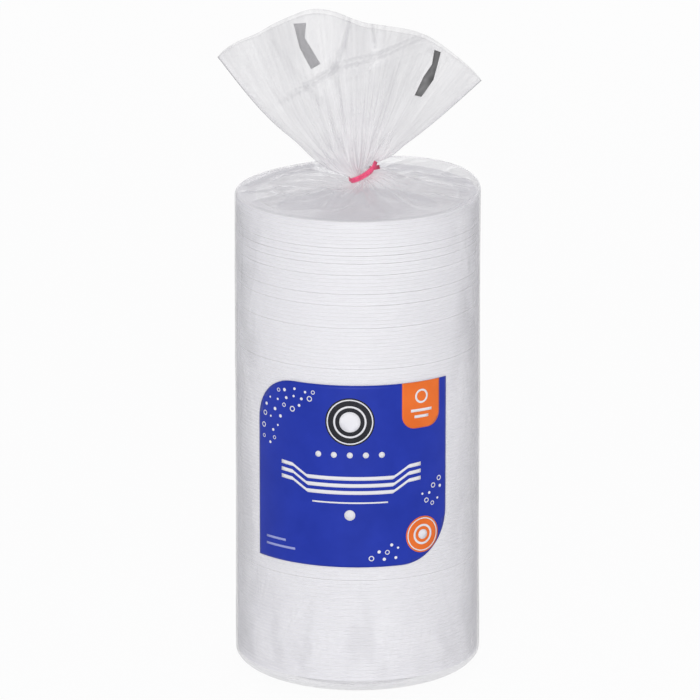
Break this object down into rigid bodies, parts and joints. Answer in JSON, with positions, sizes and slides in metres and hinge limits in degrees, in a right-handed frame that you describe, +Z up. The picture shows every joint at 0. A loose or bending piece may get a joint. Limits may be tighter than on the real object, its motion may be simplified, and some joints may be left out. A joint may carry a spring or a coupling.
{
  "type": "sleeve of foam plates",
  "caption": "Tall stack of nested round foam plates in a clear film bag with a gathered neck, twist tie, fanned tail and a printed label in front.",
  "frame": {"origin": "centre of the flat foot, on the stack's axis", "axes": "+Z up along the stack, the label faces -Y, the tail's fan lies in the XZ plane"},
  "size_m": [0.1649, 0.1543, 0.4228],
  "materials": {
    "foam": "white expanded foam with a smooth pressed skin",
    "film": "thin clear film with fine wrinkles",
    "tie": "red plastic ribbon over a wire",
    "label_blue": "glossy royal blue print",
    "print_orange": "glossy orange print",
    "print_dark": "glossy near-black print",
    "print_grey": "dark grey print",
    "print_white": "white print"
  },
  "bodies": {
    "root": {"plates_1_to_5": "foam", "plates_6_to_10": "foam", "plates_11_to_15": "foam", "plates_16_to_20": "foam", "plates_21_to_25": "foam", "plates_26_to_30": "foam", "plates_31_to_35": "foam", "plates_36_to_40": "foam", "plates_41_to_45": "foam", "plates_46_to_50": "foam", "plates_51_to_55": "foam", "plates_56_to_60": "foam", "plates_61_to_65": "foam", "plates_66_to_70": "foam", "plates_71_to_75": "foam", "plates_76_to_80": "foam", "plates_81_to_85": "foam", "plates_86_to_90": "foam", "plates_91_to_95": "foam", "plates_96_to_100": "foam", "plates_101_to_105": "foam", "plates_106_to_110": "foam", "plates_111_to_115": "foam", "plates_116_to_120": "foam", "plates_121_to_125": "foam", "bag": "film", "twist_tie": "tie", "front_label": "label_blue", "label_accents": "print_orange", "label_emblem": "print_dark", "label_pictogram": "print_white", "tail_bar_back": "print_grey", "tail_bar_front": "print_grey"}
  },
  "joints": []
}
